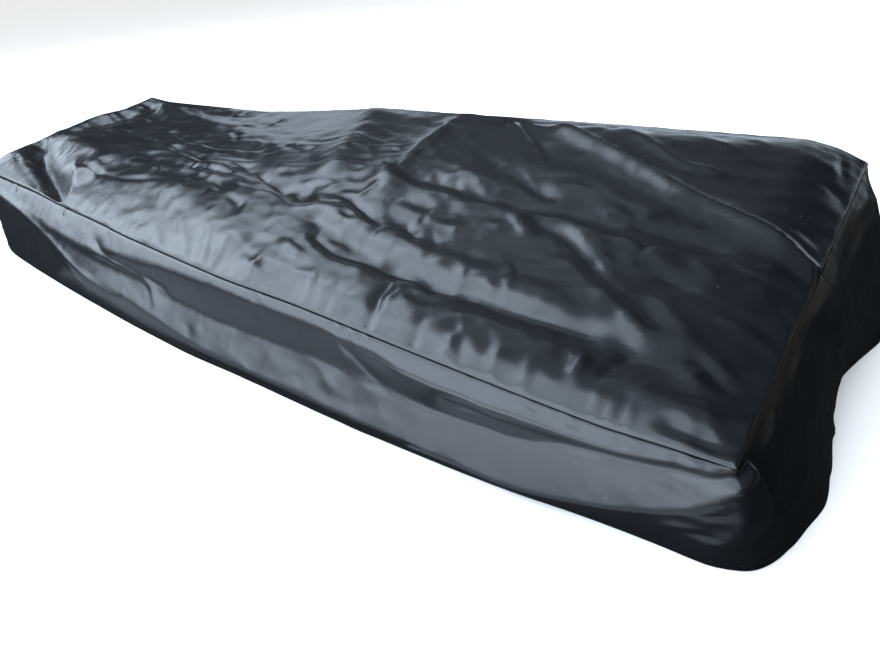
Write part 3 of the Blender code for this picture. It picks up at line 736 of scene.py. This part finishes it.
def seam_distance(turn):
    """Metres along the top seam from the middle of the frame's x axis, counted along the front."""
    whole, part = math.floor(turn), turn - math.floor(turn)
    gone = CORNERS[0].x
    for side in range(whole):
        gone += SEAM_LENGTHS[side % TURNS]
    for side in range(whole, 0):
        gone -= SEAM_LENGTHS[side % TURNS]
    return gone + SEAM_LENGTHS[whole % TURNS] * part


def fine_top_point(along, across):
    """A point of the top panel with everything that its solid leaves out."""
    point = top_point(along, across)
    from_end = min(along, 1 - along) * LENGTH
    from_side = min(across, 1 - across) * DEPTH
    from_seam = min(from_end, from_side)
    loose = smooth_step(from_seam / UNEVEN_FROM) * calmness(point.x, point.y)
    point.z += smooth_step(from_seam / TOP_CREASES_FROM) * creases_at(TOP_TILES, point.x, point.y)
    point.z += loose * unevenness(point.x, point.y)
    puckers = pucker(point.x, from_side, SIDE_PUCKERS + round(across))
    puckers += pucker(point.y, from_end, END_PUCKERS + round(along))
    point.z += puckers * smooth_step(from_seam / TOP_PUCKERS_FROM)
    turned = max(0.0, 1 - from_seam / EDGE_TURN)
    point.z -= EDGE_DROP * turned * turned
    return point, (point.x, across * DEPTH)


def hem_relief(up):
    """How far the turned hem stands out, at a height above its edge."""
    step = smooth_step((HEM_WIDTH - up) / HEM_STEP + 0.5)
    groove = math.exp(-(((up - STITCH_LINE) / GROOVE_WIDTH) ** 2))
    return HEM_RISE * (step - GROOVE_DEPTH * groove)


def band_slackness(turn):
    """The share of its unevenness that a band keeps at a turn."""
    left_end, right_end = FRONT_ENDS
    front = smooth_step(turn / left_end) * smooth_step((1 - turn) / right_end)
    return BAND_SLACKNESS + (FRONT_SLACKNESS - BAND_SLACKNESS) * front


def fine_band_point(turn, down):
    """A point of a band, from 0 at the seam to 1 at the hem, with everything that its solid leaves out."""
    top, hem, outward, profile = band_section(turn)
    drop = (top - hem).length
    below, up = down * drop, (1 - down) * drop
    along = seam_distance(turn)
    creases = smooth_step(below / BAND_CREASES_FROM) * creases_at(BAND_TILES, along, below)
    loose = smooth_step(below / UNEVEN_FROM) * smooth_step(up / UNEVEN_FROM + UNEVEN_AT_HEM)
    out = profile(down) + creases + loose * band_slackness(turn) * unevenness(along, below + BAND_PLACE)
    out += pucker(along, below, BAND_PUCKERS) * smooth_step(below / BAND_PUCKERS_FROM) + hem_relief(up)
    out -= ROLL_IN * max(0.0, 1 - below / ROLL_OUT) ** 2
    return top.lerp(hem, down) + outward * out, (along, below)


def placed(name, data):
    """A new object in the scene."""
    obj = bpy.data.objects.new(name, data)
    bpy.context.scene.collection.objects.link(obj)
    return obj


def fine_sheet(name, across, upward, place):
    """A sheet of cloth: a grid with its columns and rows at two lists of stations, given thickness."""
    mesh = bpy.data.meshes.new(name)
    grid = bmesh.new()
    columns, rows = len(across) - 1, len(upward) - 1
    bmesh.ops.create_grid(grid, x_segments=columns, y_segments=rows, size=0.5)
    unrolled = {}
    for vert in grid.verts:
        column_number = round((vert.co.x + 0.5) * columns)
        row_number = round((vert.co.y + 0.5) * rows)
        vert.co, unrolled[vert] = place(across[column_number], upward[row_number])
    layer = grid.loops.layers.uv.new("Cloth")
    for face in grid.faces:
        for loop in face.loops:
            loop[layer].uv = unrolled[loop.vert]
    grid.to_mesh(mesh)
    grid.free()
    mesh.materials.append(CLOTH_MATERIAL)
    mesh.shade_smooth()
    obj = placed(name, mesh)
    solidify = obj.modifiers.new("Thickness", "SOLIDIFY")
    solidify.thickness = CLOTH
    solidify.offset = -1.0
    solidify.use_even_offset = True
    return obj


def cells(counts):
    share = 1.0
    return [round(count * share) for count in counts]


def fine_band(name, first, last, counts):
    along, down = cells(counts)
    half_gap = UPRIGHT_SEAM / 2 / DEPTH  # in turns, as both upright seams are at an end
    first, last = first + half_gap, last - half_gap
    turns = [first + (last - first) * i / along for i in range(along + 1)]
    upward = [1 - share for share in shares_along(ROWED_FALL, down, SEAM_ROWS, HEM_ROWS)]
    return fine_sheet(name, turns, upward, fine_band_point)


# Materials: colours, roughness, and the settings of the textures that make up the cloth
BLACK = (0.0060, 0.0064, 0.0075, 1.0)
WORN = (0.011, 0.0115, 0.0135, 1.0)
DUST = (0.16, 0.16, 0.155, 1.0)
GLOSS, DULL = 0.21, 0.30
THREAD = {"Base Color": (0.016, 0.016, 0.018, 1.0), "Roughness": 0.6}
COAT = {"IOR": 1.5, "Sheen Weight": 0.01, "Sheen Roughness": 0.5}
WEAVE_PITCH = 0.0006
WEAVE = {"Scale": math.pi / 10 / WEAVE_PITCH, "Distortion": 0.6, "Detail": 1.0}
WEAVE_BUMP = {"Strength": 0.25, "Distance": 0.0001}
BENDS = {"Scale": 42.0, "Detail": 2.5, "Roughness": 0.5, "Lacunarity": 2.2, "Distortion": 0.35}
BENDS_BUMP = {"Strength": 0.6, "Distance": 0.0008}
PATCHES = {"Scale": 9.0, "Detail": 6.0, "Roughness": 0.62}
PATCH_GLOSS = {"From Min": 0.3, "From Max": 0.7, "To Min": GLOSS, "To Max": DULL}
SPECKS = {"Scale": 38.0}
SPECK_SIZE = 0.022


def set_inputs(holder, inputs):
    for name, value in inputs.items():
        holder.inputs[name].default_value = value


def plain_material(name, inputs):
    material = bpy.data.materials.new(name)
    material.use_nodes = True
    set_inputs(material.node_tree.nodes["Principled BSDF"], inputs)
    return material


def node(tree, kind, inputs, **settings):
    """A node of a material, with the values of its inputs by name or number."""
    made = tree.nodes.new("ShaderNode" + kind)
    for name, value in settings.items():
        setattr(made, name, value)
    set_inputs(made, inputs)
    return made


def cloth_material():
    """Black coated cloth: a fine plain weave under a thin glossy coat, a little worn and dusty."""
    material = plain_material("black_coated_cloth", COAT)
    tree = material.node_tree
    link = tree.links.new
    shader = tree.nodes["Principled BSDF"]
    where = node(tree, "UVMap", {}, uv_map="Cloth").outputs["UV"]

    # Threads of the plain weave, both ways
    weave = node(tree, "Math", {}, operation="MULTIPLY")
    for number, direction in enumerate("XY"):
        threads = node(tree, "TexWave", WEAVE, bands_direction=direction)
        link(where, threads.inputs["Vector"])
        link(threads.outputs["Fac"], weave.inputs[number])

    # Small bends of the coat that are too fine for the mesh
    bends = node(tree, "TexNoise", BENDS, noise_type="RIDGED_MULTIFRACTAL")
    link(where, bends.inputs["Vector"])
    bump_bends = node(tree, "Bump", BENDS_BUMP)
    link(bends.outputs["Fac"], bump_bends.inputs["Height"])
    bump_weave = node(tree, "Bump", WEAVE_BUMP)
    link(weave.outputs["Value"], bump_weave.inputs["Height"])
    link(bump_bends.outputs["Normal"], bump_weave.inputs["Normal"])
    link(bump_weave.outputs["Normal"], shader.inputs["Normal"])

    # Wear: broad patches where the coat is rubbed duller and paler
    patches = node(tree, "TexNoise", PATCHES)
    link(where, patches.inputs["Vector"])
    rough = node(tree, "MapRange", PATCH_GLOSS)
    link(patches.outputs["Fac"], rough.inputs["Value"])
    link(rough.outputs["Result"], shader.inputs["Roughness"])
    worn = node(tree, "Mix", {"A": BLACK, "B": WORN}, data_type="RGBA")
    link(patches.outputs["Fac"], worn.inputs["Factor"])

    # Specks of dust, far apart
    specks = node(tree, "TexVoronoi", SPECKS)
    link(where, specks.inputs["Vector"])
    speck = node(tree, "Math", {1: SPECK_SIZE}, operation="LESS_THAN")
    link(specks.outputs["Distance"], speck.inputs[0])
    dusty = node(tree, "Mix", {"B": DUST}, data_type="RGBA")
    link(worn.outputs["Result"], dusty.inputs["A"])
    link(speck.outputs["Value"], dusty.inputs["Factor"])
    link(dusty.outputs["Result"], shader.inputs["Base Color"])
    return material


CLOTH_MATERIAL = cloth_material()
THREAD_MATERIAL = plain_material("black_thread", THREAD)


def spindle():
    """The corners and faces of one stitch, of unit size along each axis."""
    form = bmesh.new()
    bmesh.ops.create_uvsphere(form, u_segments=6, v_segments=4, radius=1.0)
    places = [vert.co.copy() for vert in form.verts]
    faces = [[vert.index for vert in face.verts] for face in form.faces]
    form.free()
    return places, faces


def hem_stitches(name, first, last):
    """One row of stitches along the hem of a band, each a short spindle of thread on the cloth's face."""
    unit_places, unit_faces = spindle()
    places, faces = [], []
    first, last = first + STITCH_INSET, last - STITCH_INSET
    count = int((seam_distance(last) - seam_distance(first)) / STITCH_PITCH)
    size = Matrix.Diagonal((STITCH_LENGTH / 2, STITCH_THICKNESS / 2, STITCH_THICKNESS / 2, 1.0))
    for number in range(count):
        turn = first + (last - first) * (number + 0.5) / count
        drop = (seam_point(turn) - hem_point(turn)).length
        down = 1 - STITCH_LINE / drop
        here, _ = fine_band_point(turn, down)
        ahead, _ = fine_band_point(turn + STITCH_AHEAD, down)
        above, _ = fine_band_point(turn, down - STITCH_ABOVE)
        way = (ahead - here).normalized()
        face = way.cross(above - here).normalized()
        lie = Matrix((way, face.cross(way), face)).transposed().to_4x4()
        lie.translation = here
        offset = len(places)
        places += [lie @ size @ place for place in unit_places]
        faces += [[offset + index for index in ring] for ring in unit_faces]
    mesh = bpy.data.meshes.new(name)
    mesh.from_pydata(places, [], faces)
    mesh.materials.append(THREAD_MATERIAL)
    mesh.shade_smooth()
    return placed(name, mesh)


# Pieces
along_cells, across_cells = cells(TOP_CELLS)
along_top = shares_along(LENGTH, along_cells, SEAM_ROWS, SEAM_ROWS)
across_top = shares_along(DEPTH, across_cells, SEAM_ROWS, SEAM_ROWS)
top = fine_sheet("top_cloth", along_top, across_top, fine_top_point)
front = fine_band("front_cloth", LEFT_UPRIGHT_SEAM - TURNS, RIGHT_UPRIGHT_SEAM, FRONT_CELLS)
back = fine_band("back_cloth", RIGHT_UPRIGHT_SEAM, LEFT_UPRIGHT_SEAM, BACK_CELLS)
front_stitches = hem_stitches("front_hem_stitches", LEFT_UPRIGHT_SEAM - TURNS, RIGHT_UPRIGHT_SEAM)
back_stitches = hem_stitches("back_hem_stitches", RIGHT_UPRIGHT_SEAM, LEFT_UPRIGHT_SEAM)
for piece in (top, front, back, front_stitches, back_stitches):
    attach(piece, "root")
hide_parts("top_panel")
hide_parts("front_band")
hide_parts("back_band")


# Floor, backdrop, lights and camera
STAGE_RADIUS = 30.0
FLOOR_DROP = 0.0005  # below z = 0
PALE = {"Base Color": (0.86, 0.86, 0.86, 1.0), "Roughness": 0.9}
GLOW = {
    "Base Color": (0.0, 0.0, 0.0, 1.0),
    "Roughness": 1.0,
    "Emission Color": (0.9, 0.9, 0.9, 1.0),
    "Emission Strength": 1.0,
}


def stage_piece(name, form, inputs):
    """A piece of the studio, which lights nothing and isn't mirrored in the cloth."""
    mesh = bpy.data.meshes.new(name)
    form.to_mesh(mesh)
    form.free()
    mesh.materials.append(plain_material(name, inputs))
    obj = placed(name, mesh)
    obj.visible_glossy = False
    obj.visible_diffuse = False
    return obj


ground = bmesh.new()
bmesh.ops.create_circle(ground, cap_ends=True, segments=96, radius=STAGE_RADIUS)
floor = stage_piece("floor", ground, PALE)
floor.location.z = -FLOOR_DROP
dome = bmesh.new()
bmesh.ops.create_uvsphere(dome, u_segments=64, v_segments=32, radius=STAGE_RADIUS)
backdrop = stage_piece("backdrop", dome, GLOW)
backdrop.visible_shadow = False

# Softboxes that face the cover: the way to each in degrees (azimuth from +X to +Y), its size and brightness
DAYLIGHT = (0.74, 0.86, 1.0)
NEUTRAL = (1.0, 1.0, 1.0)
WARM = (1.0, 0.88, 0.72)
LIT_POINT = Vector((0.0, 0.0, 0.12))
LIGHT_DISTANCE = 3.0
Softbox = namedtuple("Softbox", "name azimuth elevation width height radiance colour", defaults=[DAYLIGHT])
SOFTBOXES = (
    Softbox("front_window", -99, 20, 3.1, 1.95, 6.2),
    Softbox("front_left_window", -151, 23, 2.2, 1.30, 5.0),
    Softbox("low_left_window", -131, 10, 0.8, 0.80, 3.4),
    Softbox("far_left_window", 178, 8, 0.6, 0.50, 3.4),
    Softbox("left_window", -158, 45, 2.2, 1.80, 4.8),
    Softbox("left_panel", 165, 49, 1.5, 1.00, 4.6),
    Softbox("front_ceiling", -100, 54, 2.8, 1.10, 4.8),
    Softbox("back_left_panel", 137, 11, 1.2, 0.80, 1.35),
    Softbox("back_panel", 104, 38, 2.8, 1.80, 0.2),
    Softbox("back_window", 84, 8, 3.4, 0.70, 1.8),
    Softbox("back_strip", 119, 57, 0.8, 0.40, 2.2),
    Softbox("ceiling", 90, 90, 2.4, 2.40, 0.6),
    Softbox("right_panel", 0, 51, 2.9, 1.10, 0.3),
    Softbox("low_right_panel", 25, 10, 2.6, 0.90, 0.2, WARM),
)

# Cards that lie on the floor before the cover and shine up at it
Card = namedtuple("Card", "name x y width height radiance colour", defaults=[DAYLIGHT])
CARD_RISE = 0.004
CARDS = (
    Card("far_card", 0.65, -1.20, 1.70, 1.00, 3.2, NEUTRAL),
    Card("left_card", -0.60, -1.20, 0.80, 1.00, 0.6, NEUTRAL),
    Card("near_card", 0.40, -0.58, 0.40, 0.38, 6.0),
    Card("near_left_card", -0.06, -0.50, 0.50, 0.36, 0.3),
    Card("foot_card", -0.02, -0.37, 0.80, 0.19, 0.6),
    Card("right_foot_card", 0.58, -0.34, 0.36, 0.17, 0.9),
)


def area_light(row, place, aim):
    """A rectangular light that faces a point, unseen itself."""
    light = bpy.data.lights.new(row.name, "AREA")
    light.shape = "RECTANGLE"
    light.size, light.size_y = row.width, row.height
    light.energy = math.pi * row.width * row.height * row.radiance
    light.color = row.colour
    obj = placed(row.name, light)
    obj.location = place
    obj.rotation_euler = (aim - place).to_track_quat("-Z", "Y").to_euler()
    obj.visible_camera = False


for box in SOFTBOXES:
    turn, rise = math.radians(box.azimuth), math.radians(box.elevation)
    way = Vector((math.cos(turn) * math.cos(rise), math.sin(turn) * math.cos(rise), math.sin(rise)))
    area_light(box, LIT_POINT + way * LIGHT_DISTANCE, LIT_POINT)
for card in CARDS:
    area_light(card, Vector((card.x, card.y, CARD_RISE)), Vector((card.x, card.y, 1.0)))

# The floor has a soft light of its own, so that it is even and pale and the cloth stays as dark as it is.
SKY_STRENGTH = 3.3
SKY_WIDTH, SKY_TILTS = 100, (12, -18, 0)  # degrees
sky_light = bpy.data.lights.new("sky", "SUN")
sky_light.angle = math.radians(SKY_WIDTH)
sky_light.energy = SKY_STRENGTH
sky = placed("sky", sky_light)
sky.rotation_euler = [math.radians(tilt) for tilt in SKY_TILTS]
floor_only = bpy.data.collections.new("floor_only")
floor_only.objects.link(floor)
sky.light_linking.receiver_collection = floor_only

# What is left of the room glows faintly.
ROOM_COLOUR, ROOM_STRENGTH = (0.85, 0.92, 1.0, 1.0), 0.02
world = bpy.data.worlds.new("studio")
bpy.context.scene.world = world
world.use_nodes = True
room = world.node_tree.nodes["Background"].inputs
room["Color"].default_value = ROOM_COLOUR
room["Strength"].default_value = ROOM_STRENGTH
bpy.context.scene.view_settings.view_transform = "Standard"

# The camera, fitted to the corners of the top seam in the photograph
CAMERA_PLACE = Vector((0.73723, -0.57953, 0.44376))
CAMERA_RIGHT = Vector((0.79473, 0.60213, -0.07648))
CAMERA_UP = Vector((-0.27209, 0.46604, 0.84189))
SENSOR = 36.0
LENS = 24.955
lens = bpy.data.cameras.new("camera")
lens.sensor_width = SENSOR
lens.lens = LENS
camera = placed("camera", lens)
turned = Matrix((CAMERA_RIGHT, CAMERA_UP, CAMERA_RIGHT.cross(CAMERA_UP))).transposed().to_4x4()
turned.translation = CAMERA_PLACE
camera.matrix_world = turned
bpy.context.scene.camera = camera
